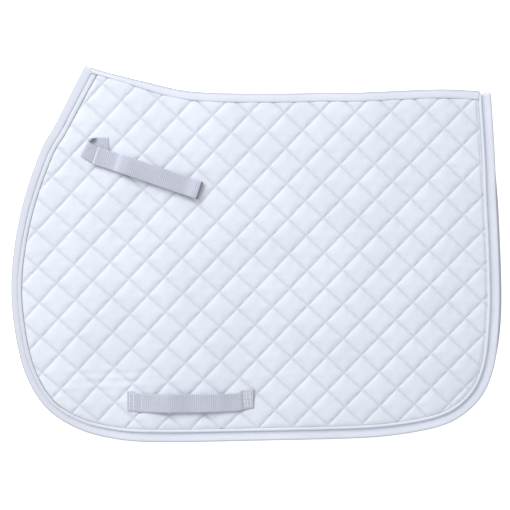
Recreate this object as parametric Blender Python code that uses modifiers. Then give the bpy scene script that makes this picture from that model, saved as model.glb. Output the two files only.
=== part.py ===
"""All-purpose quilted saddle pad, folded along its spine and lying on its far side.

Metres, +Z up. +X runs from the withers to the rear of the pad, +Y up to the spine, and the origin
is on the surface that the pad lies on, below the middle of its bounding box. The near flap lies on
the far flap, and the two are mirror images in the fold plane. Lengths below are in millimetres.
"""

import math

import bmesh
import bpy
from mathutils import Matrix, Vector

MM = 0.001

# Edge of one flap, from the withers tip down the front, along the bottom and up the rear.
EDGE_KNOTS = [
    (-237, 263), (-259, 219), (-301, 146), (-326, 76), (-340, 6), (-343, -60), (-335, -125), (-321, -174),
    (-293, -217), (-249, -245), (-197, -259), (-135, -263), (0, -260.5), (140, -256), (205, -249.5),
    (258, -238.5), (293, -221.5), (317, -197), (332, -163), (340, -121), (343.4, -60), (340.5, 35),
    (334.5, 140), (328.5, 229),
]
# Crest of the folded spine, from the withers to the rear.
SEAM_KNOTS = [
    (-250, 268), (-216, 255.5), (-150, 238.5), (-100, 227.5), (-40, 224), (50, 224), (165, 226.5),
    (255, 230.3), (309, 227.6), (345, 224),
]
EDGE_POINTS = 72
SEAM_POINTS = 20
CURVE_STEPS = 24

# Build-up of a flap.
FLAP_HALF = 4.6
FLAP_GAP = 0.4
CLOTH = 0.8
TOUCH_GAP = 0.25
RIM_HALF = 1.0
RIM_WIDTH = 14.5
RIM_START = 1.6
SLOPE_END = 27
SEAM_RIM_START = 2.0
SEAM_RIM_WIDTH = 3.5
SEAM_SLOPE_END = 15.5
FAR_MID = FLAP_HALF
NEAR_MID = 3 * FLAP_HALF + FLAP_GAP
FOLD_Z = 2 * FLAP_HALF + FLAP_GAP / 2

# Edge trim.
BINDING_WIDTH = 10
BINDING_HALF = 2.6
BINDING_WALL = 0.9
BINDING_TOE = (0.4, 1.4)
PIPING_RADIUS = 1.6
PIPING_INSET = 12.3
TAPE_REACH = 11
TAPE_CLOTH = 1.0
TAPE_ENDS = (-213, 306)

# The spine opens about a straight line just above the seam, level with the fold plane.
HINGE_FRONT = (-237, 264.2)
HINGE_REAR = (331, 231)

# Webbing.
WEB_WIDTH = 25
WEB = 1.0
PATCH = 0.6
PATCH_LENGTH = 25
PATCH_WIDTH = 22
THREAD = 0.25
THREAD_LINE = 1.2
STITCH_PROUD = TOUCH_GAP + THREAD / 2
STRAP_ANCHOR = (-241, 143.4)
STRAP_ANGLE = math.radians(-18.4)
STRAP_REACH = 169
STRAP_FREE_END = 16.5
STRAP_BULGE = 2.8
TAB_CENTRE_Y = 151.5
TAB_END_X = -206.7
GIRTH_FRONT = (-180.4, -207.2)
GIRTH_REAR = (-3.7, -204.8)
GIRTH_SEWN = 19
GIRTH_RISE = 5.6
POCKET_MARGIN = 2.0

COTTON = ((0.83, 0.85, 0.90, 1), 0.9)
TRIM = ((0.80, 0.82, 0.88, 1), 0.85)
BATTING = ((0.88, 0.88, 0.86, 1), 0.95)
WEBBING = ((0.50, 0.52, 0.60, 1), 0.8)
FASTENER = ((0.62, 0.63, 0.68, 1), 0.95)
SEWING = ((0.74, 0.76, 0.82, 1), 0.7)


def clear_scene():
    for obj in list(bpy.data.objects):
        bpy.data.objects.remove(obj)


def make_collection(name):
    collection = bpy.data.collections.new(name)
    bpy.context.scene.collection.children.link(collection)
    return collection


def material(name, look):
    colour, roughness = look
    made = bpy.data.materials.get(name) or bpy.data.materials.new(name)
    made.use_nodes = True
    shader = made.node_tree.nodes["Principled BSDF"]
    shader.inputs["Base Color"].default_value = colour
    shader.inputs["Roughness"].default_value = roughness
    shader.inputs["Metallic"].default_value = 0
    return made


def add_object(name, bm, collection, look):
    """Turns a bmesh in millimetres into an object in metres, with its faces pointing out."""
    bmesh.ops.scale(bm, vec=Vector((MM, MM, MM)), verts=bm.verts)
    mesh = bpy.data.meshes.new(name)
    bm.to_mesh(mesh)
    bm.free()
    obj = bpy.data.objects.new(name, mesh)
    collection.objects.link(obj)
    if look:
        mesh.materials.append(material(name + "_material", look))
    return obj


# Curves in the plane of the pad


def smooth_curve(knots):
    """Catmull-Rom curve through the knots, as closely spaced points."""
    points = []
    padded = [knots[0]] + list(knots) + [knots[-1]]
    for a, b, c, d in zip(padded, padded[1:], padded[2:], padded[3:]):
        a, b, c, d = Vector(a), Vector(b), Vector(c), Vector(d)
        for k in range(CURVE_STEPS):
            t = k / CURVE_STEPS
            points.append(
                0.5 * (2 * b + (c - a) * t + (2 * a - 5 * b + 4 * c - d) * t ** 2
                       + (3 * b - a - 3 * c + d) * t ** 3)
            )
    points.append(Vector(knots[-1]))
    return points


def resample(points, count):
    """The same line as count points, evenly spaced along it."""
    along = [0.0]
    for p, q in zip(points, points[1:]):
        along.append(along[-1] + (q - p).length)
    result = []
    k = 0
    for i in range(count):
        target = along[-1] * i / (count - 1)
        while k < len(points) - 2 and along[k + 1] < target:
            k += 1
        share = (target - along[k]) / max(along[k + 1] - along[k], 1e-9)
        result.append(points[k].lerp(points[k + 1], share))
    return result


def inset_line(points, distance):
    """Moves a line to its left, which is into the flap for the edge."""
    moved = []
    for i, p in enumerate(points):
        along = points[min(i + 1, len(points) - 1)] - points[max(i - 1, 0)]
        along.normalize()
        moved.append(p + Vector((-along.y, along.x)) * distance)
    return moved


def seam_height(x):
    """Height of the spine's crest at x."""
    for p, q in zip(SEAM, SEAM[1:]):
        if p.x <= x <= q.x:
            return p.y + (q.y - p.y) * (x - p.x) / (q.x - p.x)
    return (SEAM[0] if x < SEAM[0].x else SEAM[-1]).y


def edge_line(inset, seam_inset=0.0, count=EDGE_POINTS):
    """The edge moved in by inset and cut off seam_inset below the crest, from front to rear."""
    moved = inset_line(EDGE, inset)
    depth = [p.y - (seam_height(p.x) - seam_inset) for p in moved]
    inside = [i for i, d in enumerate(depth) if d < 0]
    first, last = inside[0], inside[-1]
    kept = moved[first:last + 1]
    if first > 0:
        share = depth[first] / (depth[first] - depth[first - 1])
        kept.insert(0, moved[first].lerp(moved[first - 1], share))
    if last < len(moved) - 1:
        share = depth[last] / (depth[last] - depth[last + 1])
        kept.append(moved[last].lerp(moved[last + 1], share))
    return resample(kept, count)


def flap_ring(inset, seam_inset):
    """Closed outline of a flap, inset from its edge and from its crest."""
    edge = edge_line(inset, seam_inset)
    front, rear = edge[0], edge[-1]
    crest = []
    for i in range(1, SEAM_POINTS):
        x = rear.x + (front.x - rear.x) * i / SEAM_POINTS
        crest.append(Vector((x, seam_height(x) - seam_inset)))
    return edge + crest


EDGE = smooth_curve(EDGE_KNOTS)
SEAM = smooth_curve(SEAM_KNOTS)


# Cloth pieces


def loft(bm, rings, closed, wrapped=False):
    """Joins rows of points with quads. closed joins each row's ends, and wrapped the last row to the first."""
    rows = [[bm.verts.new(p) for p in ring] for ring in rings]
    following = rows[1:] + rows[:1] if wrapped else rows[1:]
    for low, high in zip(rows, following):
        steps = len(low) if closed else len(low) - 1
        for i in range(steps):
            j = (i + 1) % len(low)
            bm.faces.new((low[i], low[j], high[j], high[i]))
    return rows


def at_height(ring, z):
    return [(p.x, p.y, z) for p in ring]


def cover(name, mid, face, collection, look):
    """Outer shell or lining: a flat field that slopes down to a thin rim. face is +1 or -1."""
    bm = bmesh.new()
    rings = [
        at_height(flap_ring(RIM_START, SEAM_RIM_START), mid + face * RIM_HALF),
        at_height(flap_ring(RIM_WIDTH, SEAM_RIM_WIDTH), mid + face * RIM_HALF),
        at_height(flap_ring(SLOPE_END, SEAM_SLOPE_END), mid + face * FLAP_HALF),
    ]
    rows = loft(bm, rings, closed=True)
    bm.faces.new(rows[-1])
    bmesh.ops.recalc_face_normals(bm, faces=bm.faces)
    field = max(bm.faces, key=lambda f: f.calc_area())
    if field.normal.z * face < 0:
        bmesh.ops.reverse_faces(bm, faces=bm.faces)
    obj = add_object(name, bm, collection, look)
    skin = obj.modifiers.new("cloth", "SOLIDIFY")
    skin.thickness = CLOTH * MM
    skin.offset = -1
    skin.use_even_offset = True
    return obj


def padding(name, mid, collection):
    """The batting between the covers."""
    lift = FLAP_HALF - CLOTH - TOUCH_GAP
    outer = flap_ring(RIM_WIDTH + 3, SEAM_RIM_WIDTH + 2.5)
    inner = flap_ring(SLOPE_END + 1, SEAM_SLOPE_END + 1)
    edge_half = RIM_HALF - 2 * TOUCH_GAP
    bm = bmesh.new()
    rings = [
        at_height(inner, mid - lift),
        at_height(outer, mid - edge_half),
        at_height(outer, mid + edge_half),
        at_height(inner, mid + lift),
    ]
    rows = loft(bm, rings, closed=True)
    bm.faces.new(rows[0])
    bm.faces.new(rows[-1])
    bmesh.ops.recalc_face_normals(bm, faces=bm.faces)
    return add_object(name, bm, collection, BATTING)


def edge_strip(name, profile, count, collection, look):
    """Sweeps a closed profile of (inset, z) along the whole edge of a flap."""
    bm = bmesh.new()
    rings = [at_height(edge_line(inset, TOUCH_GAP, count), z) for inset, z in profile]
    rows = loft(bm, rings, closed=False, wrapped=True)
    for end in (0, -1):
        bm.faces.new([row[end] for row in rows])
    bmesh.ops.recalc_face_normals(bm, faces=bm.faces)
    return add_object(name, bm, collection, look)


def edge_binding(name, mid, towards_fold, collection):
    """Tape folded round the raw edge, with a toe at each end that meets the other flap's at the fold."""
    outer = BINDING_HALF
    inner = BINDING_HALF - BINDING_WALL
    profile = [
        (BINDING_WIDTH, outer), (2.2, outer), (0.6, outer - 0.9), (0, 0), (0.6, 0.9 - outer), (2.2, -outer),
        (BINDING_WIDTH, -outer), (BINDING_WIDTH, -inner), (1.3, -inner), (BINDING_WALL - 0.1, 0),
        (1.3, inner), (BINDING_WIDTH, inner),
    ]
    strip = edge_strip(name, [(i, mid + z) for i, z in profile], EDGE_POINTS, collection, TRIM)
    low = FOLD_Z + towards_fold * TOUCH_GAP / 2
    high = mid + towards_fold * (inner + BINDING_WALL / 2)
    for end, label in ((0, "front"), (-1, "rear")):
        toe = binding_toe(f"{name}_{label}_toe", end, low, high, collection)
        join_solid(strip, toe)
    return strip


def binding_toe(name, end, low, high, collection):
    """The few millimetres at one end of the binding that turn over the spine."""
    near, far = 0.5, BINDING_WIDTH - 0.3
    top, bottom = BINDING_TOE
    corners = [edge_line(inset, depth)[end] for inset, depth in
               ((near, top), (far, top), (far, bottom), (near, bottom))]
    bm = bmesh.new()
    loft(bm, [at_height(corners, low), at_height(corners, high)], closed=True)
    bmesh.ops.holes_fill(bm, edges=[e for e in bm.edges if e.is_boundary], sides=0)
    bmesh.ops.recalc_face_normals(bm, faces=bm.faces)
    return add_object(name, bm, collection, None)


def join_solid(obj, tool, operation="UNION"):
    """Applies a Boolean of tool to obj, and removes tool."""
    step = obj.modifiers.new("join", "BOOLEAN")
    step.operation = operation
    step.object = tool
    graph = bpy.context.evaluated_depsgraph_get()
    mesh = bpy.data.meshes.new_from_object(obj.evaluated_get(graph), depsgraph=graph)
    obj.modifiers.clear()
    obj.data = mesh
    bpy.data.objects.remove(tool)


def piping(name, mid, face, collection):
    """The cord sewn along the inside of the binding, on the outer face."""
    data = bpy.data.curves.new(name, "CURVE")
    data.dimensions = "3D"
    data.bevel_depth = PIPING_RADIUS * MM
    data.bevel_resolution = 2
    data.use_fill_caps = True
    line = edge_line(PIPING_INSET, PIPING_RADIUS + 0.4)
    z = mid + face * (RIM_HALF + TOUCH_GAP + PIPING_RADIUS)
    spline = data.splines.new("POLY")
    spline.points.add(len(line) - 1)
    for point, p in zip(spline.points, line):
        point.co = (p.x * MM, p.y * MM, z * MM, 1)
    obj = bpy.data.objects.new(name, data)
    data.materials.append(material(name + "_material", TRIM))
    collection.objects.link(obj)
    return obj


def spine_strip(name, path, thickness, collection):
    """A tape bent over the seam. path is (y below the crest, z above the fold plane)."""
    start, end = TAPE_ENDS
    bm = bmesh.new()
    rings = []
    for drop, z in path:
        ring = []
        for i in range(SEAM_POINTS + 1):
            x = start + (end - start) * i / SEAM_POINTS
            ring.append((x, seam_height(x) - drop, FOLD_Z + z))
        rings.append(ring)
    loft(bm, rings, closed=False)
    obj = add_object(name, bm, collection, TRIM)
    skin = obj.modifiers.new("tape", "SOLIDIFY")
    skin.thickness = thickness * MM
    skin.offset = 0
    skin.use_even_offset = True
    return obj


# Webbing


def lay_in_place(obj, origin, angle):
    obj.matrix_world = Matrix.Translation(Vector(origin) * MM) @ Matrix.Rotation(angle, 4, "Z")


def web_path(name, path, width, thickness, origin, angle, collection, look):
    """A band bent along path, a list of (along, height), and then laid on the pad."""
    bm = bmesh.new()
    rings = [[(u, side * width / 2, h) for u, h in path] for side in (-1, 1)]
    loft(bm, rings, closed=False)
    obj = add_object(name, bm, collection, look)
    skin = obj.modifiers.new("band", "SOLIDIFY")
    skin.thickness = thickness * MM
    skin.offset = 0
    skin.use_even_offset = True
    lay_in_place(obj, origin, angle)
    return obj


def half_turn(u, height, radius, direction, steps=8):
    """Points round the end of a folded band, from its lower leg to its upper leg."""
    points = []
    for i in range(steps + 1):
        angle = math.pi * (i / steps - 0.5)
        points.append((u + direction * radius * math.cos(angle), height + radius * math.sin(angle)))
    return points


def box_stitch(name, length, width, origin, angle, collection):
    """Thread sewn round a rectangle, standing just proud of the webbing."""
    bm = bmesh.new()
    rings = []
    for grow, z in ((0, -1), (0, 1), (-THREAD_LINE, 1), (-THREAD_LINE, -1)):
        a, b = length / 2 + grow, width / 2 + grow
        rings.append([(x, y, z * THREAD / 2) for x, y in ((-a, -b), (a, -b), (a, b), (-a, b))])
    loft(bm, rings, closed=True, wrapped=True)
    bmesh.ops.recalc_face_normals(bm, faces=bm.faces)
    obj = add_object(name, bm, collection, SEWING)
    lay_in_place(obj, origin, angle)
    return obj


def along_strap(u):
    """A point on the billet strap's centre line."""
    return (
        STRAP_ANCHOR[0] + u * math.cos(STRAP_ANGLE),
        STRAP_ANCHOR[1] + u * math.sin(STRAP_ANGLE),
    )


def strap_levels(bulge):
    """Heights of the middle of each layer above the cover that the strap is sewn to."""
    tab = TOUCH_GAP + WEB / 2
    under = tab + WEB + 2 * TOUCH_GAP + THREAD
    loop = under + WEB / 2 + TOUCH_GAP + PATCH / 2
    hook = loop + PATCH + TOUCH_GAP
    top = hook + PATCH / 2 + TOUCH_GAP + WEB / 2
    return {"tab": tab, "under": under, "loop": loop, "hook": hook, "top": top, "raised": top + bulge}


def billet_strap(side, base, out, bulge, collection):
    """One 25 mm band: sewn tab, leg under, turn at the far end, leg on top closed by hook and loop."""
    level = strap_levels(bulge)
    turn_radius = (level["raised"] - level["under"]) / 2
    turn_height = level["under"] + turn_radius
    fold_radius = (level["under"] - level["tab"]) / 2
    fold_height = level["tab"] + fold_radius
    clear = turn_radius + WEB / 2 + TOUCH_GAP
    origin = (*STRAP_ANCHOR, base)

    def place(points):
        return [(u, out * h) for u, h in points]

    def band(name, path, width=WEB_WIDTH, thickness=WEB, look=WEBBING):
        full = f"{side}_strap_{name}"
        return web_path(full, place(path), width, thickness, origin, STRAP_ANGLE, collection, look)

    tab_start = STRAP_ANCHOR[0] + 9
    tab_middle = ((tab_start + TAB_END_X) / 2, TAB_CENTRE_Y, base)
    half = (TAB_END_X - tab_start) / 2
    tab = web_path(
        f"{side}_strap_tab", place([(-half, level["tab"]), (half, level["tab"])]), WEB_WIDTH, WEB,
        tab_middle, 0, collection, WEBBING,
    )
    fold = half_turn(0, fold_height, fold_radius, -1)
    under = band("under_leg", fold + [(STRAP_REACH - clear, level["under"])])
    patch_start = STRAP_FREE_END + 2
    patch_end = patch_start + PATCH_LENGTH
    loop = band("loop_patch", [(patch_start, level["loop"]), (patch_end, level["loop"])],
                PATCH_WIDTH, PATCH, FASTENER)
    hook = band("hook_patch", [(patch_start, level["hook"]), (patch_end, level["hook"])],
                PATCH_WIDTH, PATCH, FASTENER)
    top = band("top_leg", half_turn(STRAP_REACH, turn_height, turn_radius, 1) + [
        (patch_end + 25, level["raised"]), (patch_end + 4, level["top"]), (STRAP_FREE_END, level["top"]),
    ])
    sewn = box_stitch(
        f"{side}_strap_tab_stitching", half, WEB_WIDTH - 5,
        (TAB_END_X - half / 2 - 2, TAB_CENTRE_Y, base + out * (level["tab"] + WEB / 2 + STITCH_PROUD)),
        0, collection,
    )
    return {"flap": [tab, sewn], "under": [under, loop], "top": [hook, top]}


def girth_loop(side, base, out, rise, collection):
    """A band sewn down at both ends, which the girth passes through."""
    front, rear = Vector(GIRTH_FRONT), Vector(GIRTH_REAR)
    length = (rear - front).length
    angle = math.atan2(rear.y - front.y, rear.x - front.x)
    low = TOUCH_GAP + WEB / 2
    path = [(0, low), (GIRTH_SEWN, low)]
    free = length - 2 * GIRTH_SEWN
    steps = 12
    for i in range(1, steps):
        share = i / steps
        lift = min(1.0, math.sin(math.pi * share) * 1.25) * rise
        path.append((GIRTH_SEWN + free * share, low + lift))
    path += [(length - GIRTH_SEWN, low), (length, low)]
    origin = (*GIRTH_FRONT, base)
    band = web_path(
        f"{side}_girth_loop", [(u, out * h) for u, h in path], WEB_WIDTH, WEB, origin, angle,
        collection, WEBBING,
    )
    pieces = [band]
    stitch_height = base + out * (low + WEB / 2 + STITCH_PROUD)
    along = (rear - front).normalized()
    for label, distance in (("front", GIRTH_SEWN / 2), ("rear", length - GIRTH_SEWN / 2)):
        middle = front + along * distance
        pieces.append(box_stitch(
            f"{side}_girth_{label}_stitching", GIRTH_SEWN - 4, WEB_WIDTH - 5,
            (middle.x, middle.y, stitch_height), angle, collection,
        ))
    return pieces


# Pockets that the lower flap's straps press into it


def pocket_tool(name, centre, length, width, low, high, angle, cutters):
    bm = bmesh.new()
    bmesh.ops.create_cube(bm, size=1)
    bmesh.ops.scale(bm, vec=Vector((length, width, high - low)), verts=bm.verts)
    obj = add_object(name, bm, cutters, None)
    lay_in_place(obj, (*centre, (low + high) / 2), angle)
    obj.hide_render = True
    obj.display_type = "WIRE"
    return obj


def press_in_straps(cover_obj, padding_obj, cutters):
    """Presses flat-bottomed dents into the far flap's outer face, so that its straps lie flush in it."""
    level = strap_levels(0)
    margin = 2 * POCKET_MARGIN
    strap_depth = level["top"] + WEB / 2 + TOUCH_GAP
    girth_depth = WEB + THREAD + 4 * TOUCH_GAP
    tab_length = TAB_END_X - STRAP_ANCHOR[0]
    front, rear = Vector(GIRTH_FRONT), Vector(GIRTH_REAR)
    girth_angle = math.atan2(rear.y - front.y, rear.x - front.x)
    width = WEB_WIDTH + margin
    dents = [
        ("strap", along_strap(STRAP_REACH / 2), STRAP_REACH + 8 + margin, strap_depth, STRAP_ANGLE),
        ("tab", (STRAP_ANCHOR[0] + tab_length / 2 + 4, TAB_CENTRE_Y), tab_length, strap_depth, 0),
        ("girth", tuple((front + rear) / 2), (rear - front).length + margin, girth_depth, girth_angle),
    ]
    for name, centre, length, depth, angle in dents:
        skin = pocket_tool(name + "_skin", centre, length + 2 * CLOTH, width + 2 * CLOTH,
                           CLOTH / 4, depth + CLOTH, angle, cutters)
        join_solid(cover_obj, skin)
    for name, centre, length, depth, angle in dents:
        hollow = pocket_tool(name + "_hollow", centre, length, width, -depth, depth, angle, cutters)
        join_solid(cover_obj, hollow, "DIFFERENCE")
        gap = 2 * (CLOTH + TOUCH_GAP)
        room = pocket_tool(name + "_room", centre, length + gap, width + gap,
                           -depth, depth + CLOTH + TOUCH_GAP, angle, cutters)
        join_solid(padding_obj, room, "DIFFERENCE")
    return strap_depth, girth_depth


# Assembly


def flap(side, mid, face, collection):
    """One flap without its straps. face is the side of the flap that its outer cover is on."""
    return {
        "shell": cover(f"{side}_outer_shell", mid, face, collection, COTTON),
        "padding": padding(f"{side}_padding", mid, collection),
        "lining": cover(f"{side}_lining", mid, -face, collection, COTTON),
        "binding": edge_binding(f"{side}_edge_binding", mid, face, collection),
        "piping": piping(f"{side}_piping", mid, face, collection),
    }


def add_pivot(name, point, angle, parent, collection):
    """An empty on a joint's axis, with its X along the axis."""
    pivot = bpy.data.objects.new(name, None)
    collection.objects.link(pivot)
    pivot.empty_display_size = 0.03
    pivot.matrix_world = Matrix.Translation(Vector(point) * MM) @ Matrix.Rotation(angle, 4, "Z")
    if parent:
        hang(pivot, parent)
    return pivot


def hang(obj, parent):
    bpy.context.view_layer.update()
    obj.parent = parent
    obj.matrix_parent_inverse = parent.matrix_world.inverted()


def strap_pivots(side, base, out, bulge, parent, collection):
    """Pivots at the sewn fold and at the turn of one billet strap."""
    level = strap_levels(bulge)
    across = STRAP_ANGLE + math.pi / 2
    fold_height = (level["tab"] + level["under"]) / 2
    turn_height = (level["under"] + level["raised"]) / 2
    lift = add_pivot(f"{side}_strap_lift_pivot", (*STRAP_ANCHOR, base + out * fold_height), across,
                     parent, collection)
    turn = add_pivot(f"{side}_strap_turn_pivot", (*along_strap(STRAP_REACH), base + out * turn_height),
                     across, lift, collection)
    return lift, turn


def main():
    clear_scene()
    parts = make_collection("saddle_pad")
    cutters = make_collection("cutters")
    far = flap("far", FAR_MID, -1, parts)
    near = flap("near", NEAR_MID, 1, parts)
    strap_depth, girth_depth = press_in_straps(far["shell"], far["padding"], cutters)

    top_face = NEAR_MID + FLAP_HALF
    near_strap = billet_strap("near", top_face, 1, STRAP_BULGE, parts)
    far_strap = billet_strap("far", strap_depth, -1, 0, parts)
    near_girth = girth_loop("near", top_face, 1, GIRTH_RISE, parts)
    girth_loop("far", girth_depth, -1, 0, parts)

    crest = FLAP_HALF + FLAP_GAP / 2
    tape_path = [
        (TAPE_REACH, crest + 4.1), (SEAM_RIM_WIDTH, crest + 2.0), (1.2, crest + 1.6), (0.6, crest),
        (0.5, 0), (0.6, -crest), (1.2, -crest - 1.6), (SEAM_RIM_WIDTH, -crest - 2.0),
        (TAPE_REACH, -crest - 4.1),
    ]
    tape = spine_strip("spine_tape", tape_path, TAPE_CLOTH, parts)
    facing_path = [(9, 1.0), (5, 2.2), (3.2, 1.8), (2.4, 0), (3.2, -1.8), (5, -2.2), (9, -1.0)]
    facing = spine_strip("spine_facing", facing_path, CLOTH, parts)

    front, rear = Vector(HINGE_FRONT), Vector(HINGE_REAR)
    middle = (front + rear) / 2
    hinge_angle = math.atan2(rear.y - front.y, rear.x - front.x)
    tape_pivot = add_pivot("spine_tape_pivot", (*middle, FOLD_Z), hinge_angle, None, parts)
    near_pivot = add_pivot("near_flap_pivot", (*middle, FOLD_Z), hinge_angle, None, parts)
    facing_pivot = add_pivot("spine_facing_pivot", (*middle, FOLD_Z), hinge_angle, near_pivot, parts)
    hang(tape, tape_pivot)
    hang(facing, facing_pivot)
    for obj in [*near.values(), *near_strap["flap"], *near_girth]:
        hang(obj, near_pivot)
    for side, strap, base, out, bulge, parent in (
        ("near", near_strap, top_face, 1, STRAP_BULGE, near_pivot),
        ("far", far_strap, strap_depth, -1, 0, None),
    ):
        lift, turn = strap_pivots(side, base, out, bulge, parent, parts)
        for obj in strap["under"]:
            hang(obj, lift)
        for obj in strap["top"]:
            hang(obj, turn)


main()
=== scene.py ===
"""Looks of the quilted saddle pad: quilted covers, trim, webbing, materials, light and camera."""
import bpy
import bmesh
import math
import numpy as np
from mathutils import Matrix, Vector, noise


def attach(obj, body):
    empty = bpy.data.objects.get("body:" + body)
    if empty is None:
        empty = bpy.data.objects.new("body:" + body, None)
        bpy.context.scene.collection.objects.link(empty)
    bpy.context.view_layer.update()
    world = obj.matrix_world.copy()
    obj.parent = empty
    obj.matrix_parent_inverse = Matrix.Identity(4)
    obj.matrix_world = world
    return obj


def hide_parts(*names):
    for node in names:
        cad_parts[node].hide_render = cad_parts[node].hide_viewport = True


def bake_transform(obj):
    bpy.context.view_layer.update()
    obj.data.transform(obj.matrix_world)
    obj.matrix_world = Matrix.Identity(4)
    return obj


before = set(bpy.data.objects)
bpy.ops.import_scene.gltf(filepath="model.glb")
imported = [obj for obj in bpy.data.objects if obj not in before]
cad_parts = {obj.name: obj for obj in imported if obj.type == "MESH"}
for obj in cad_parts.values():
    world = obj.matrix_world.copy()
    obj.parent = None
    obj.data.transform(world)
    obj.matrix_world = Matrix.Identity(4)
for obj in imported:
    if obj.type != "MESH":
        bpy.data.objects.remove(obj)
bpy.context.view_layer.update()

MM = 0.001

# Outline of the flaps and levels of their layers, in millimetres, as in the CAD model.
EDGE_KNOTS = [
    (-240, 264), (-263, 219.5), (-283, 180), (-302, 146), (-326, 76), (-340, 6), (-343.4, -60),
    (-335.5, -125), (-321, -174), (-293, -217), (-249, -245), (-197, -259), (-135, -263.3),
    (0, -261.2), (140, -257.8), (205, -252), (258, -241), (291, -224.5), (317, -197.5),
    (332, -163), (340, -121), (343.4, -60), (340.5, 35), (334.5, 140), (328.5, 231),
]
SEAM_KNOTS = [
    (-250, 269), (-216, 257), (-150, 240.6), (-100, 229.6), (-40, 226), (50, 225.8), (90, 227),
    (135, 226.8), (165, 227.8), (255, 231.4), (309, 229.4), (345, 227.5),
]
FOLD_Z = 9.4
FLAP_HALF = 4.6
NEAR_MID = 14.2
FAR_MID = 4.6
NEAR_TOP = NEAR_MID + FLAP_HALF

# Webbing. The strap's anchor is the hinge of its sewn tab; distances along the strap start there.
WEB_WIDTH = 25.0
RAIL_STEPS = 9
WEB = 1.1
STRAP_ANCHOR = np.array((-241.0, 143.4))
STRAP_ANGLE = math.radians(-18.4)
STRAP_REACH = 169.0
STRAP_FREE_END = 16.5
STRAP_BULGE = 2.8
STRAP_DIR = np.array([math.cos(STRAP_ANGLE), math.sin(STRAP_ANGLE)])
STRAP_ACROSS = np.array([-STRAP_DIR[1], STRAP_DIR[0]])
FAR_STRAP_BASE = 6.2
PATCH_START = STRAP_FREE_END + 2
PATCH_END = STRAP_FREE_END + 27
# Heights of the strap's layers above the face that the strap lies on.
LEVEL = {"tab": 0.75, "under": 2.5, "loop": 3.55, "hook": 4.4, "top": 5.45}
GIRTH_FRONT_X = -180.4
GIRTH_LENGTH = 176.7
GIRTH_SEWN = 19.0
GIRTH_LEVEL = 0.75
GIRTH_RISE = 5.6
FAR_GIRTH_BASE = 2.25

# Quilting: two families of sewn lines, each given by its pitch, the direction across its lines,
# the phase at the origin and how far it bows over 300 mm.
SPAN = 300.0
QUILT_A = {"pitch": 34.76, "across": 136.52, "phase": 0.949, "xx": 0.006, "xy": 0.193, "yy": -0.111}
QUILT_B = {"pitch": 35.12, "across": 47.42, "phase": 0.103, "xx": 0.156, "xy": 0.027, "yy": -0.056}
CELL_STEPS = (0.0, 0.035, 0.09, 0.17, 0.27, 0.385, 0.5, 0.615, 0.73, 0.83, 0.91, 0.965)


# Outline helpers

def catmull(knots, steps=24):
    """A smooth curve through the knots, with a number of steps between each two."""
    knots = [np.array(k, float) for k in knots]
    padded = [knots[0]] + knots + [knots[-1]]
    points = []
    for a, b, c, d in zip(padded, padded[1:], padded[2:], padded[3:]):
        for k in range(steps):
            t = k / steps
            points.append(0.5 * (2 * b + (c - a) * t + (2 * a - 5 * b + 4 * c - d) * t ** 2
                                 + (3 * b - a - 3 * c + d) * t ** 3))
    points.append(knots[-1])
    return np.array(points)


EDGE = catmull(EDGE_KNOTS)
SEAM = catmull(SEAM_KNOTS)


def lengths(points):
    """Distance of each point from the first, along the line."""
    step = np.linalg.norm(np.diff(points, axis=0), axis=1)
    return np.concatenate([[0.0], np.cumsum(step)])


def resample(points, spacing):
    """The same line with evenly spaced points."""
    along = lengths(points)
    count = max(2, int(round(along[-1] / spacing)) + 1)
    target = np.linspace(0, along[-1], count)
    return np.stack([np.interp(target, along, points[:, k]) for k in range(points.shape[1])], 1)


def seam_y(x):
    """Y of the spine's crest."""
    return np.interp(x, SEAM[:, 0], SEAM[:, 1])


EDGE_ALONG = lengths(EDGE) / lengths(EDGE)[-1]


def edge_inset(xy):
    """How far each point is inside the edge, and its place along the edge from front to rear."""
    best = np.full(len(xy), 1e18)
    inset = np.zeros(len(xy))
    place = np.zeros(len(xy))
    for k in range(len(EDGE) - 1):
        a, b = EDGE[k], EDGE[k + 1]
        ab = b - a
        t = np.clip(((xy - a) @ ab) / max(float(ab @ ab), 1e-12), 0, 1)
        off = xy - (a + t[:, None] * ab)
        d2 = (off ** 2).sum(1)
        side = ab[0] * off[:, 1] - ab[1] * off[:, 0]
        nearer = d2 < best
        best = np.where(nearer, d2, best)
        inset = np.where(nearer, np.sign(side) * np.sqrt(d2), inset)
        place = np.where(nearer, EDGE_ALONG[k] + t * (EDGE_ALONG[k + 1] - EDGE_ALONG[k]), place)
    return inset, place


def smooth(x, low, high):
    """0 up to low, 1 from high, and an even rise between them."""
    t = np.clip((x - low) / (high - low), 0, 1)
    return t * t * (3 - 2 * t)


# The trim. Its place along the edge runs from 0 at the withers to 1 at the rear of the spine.
TURN_START = 0.31
TURN_END = 0.43
BINDING_WIDTH = 9.3
BINDING_HALF = 2.6
PIPING_HALF = 2.75
PIPING_NARROWING = 0.6
PIPING_INSET = 12.0
PIPING_SHIFT = 3.6
WITHERS_EXTRA = 5.6
WITHERS_TAPER = 27.0
FLAP_STAGGER = 3.0
TAPE_REACH_FRONT = 7.4
TAPE_REACH_MORE = 5.2


def rear_share(place):
    """0 along the front edge and 1 along the bottom and rear edges."""
    return smooth(place, TURN_START, TURN_END)


def piping_half(place):
    """Half the width of the piping, which is flatter in front."""
    return PIPING_HALF - PIPING_NARROWING * rear_share(place)


def withers_spread(place):
    """The trim is wider towards the withers."""
    return np.maximum(WITHERS_EXTRA - WITHERS_TAPER * place, 0)


def piping_inset(place):
    """The piping runs close to the binding in front, and further in behind."""
    return PIPING_INSET + PIPING_SHIFT * rear_share(place) + withers_spread(place)


def tape_reach(x):
    """How far below the crest the spine tape ends. It is narrower near the withers."""
    return TAPE_REACH_FRONT + TAPE_REACH_MORE * smooth(x, -215, -120)


# Mesh helpers

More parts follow.
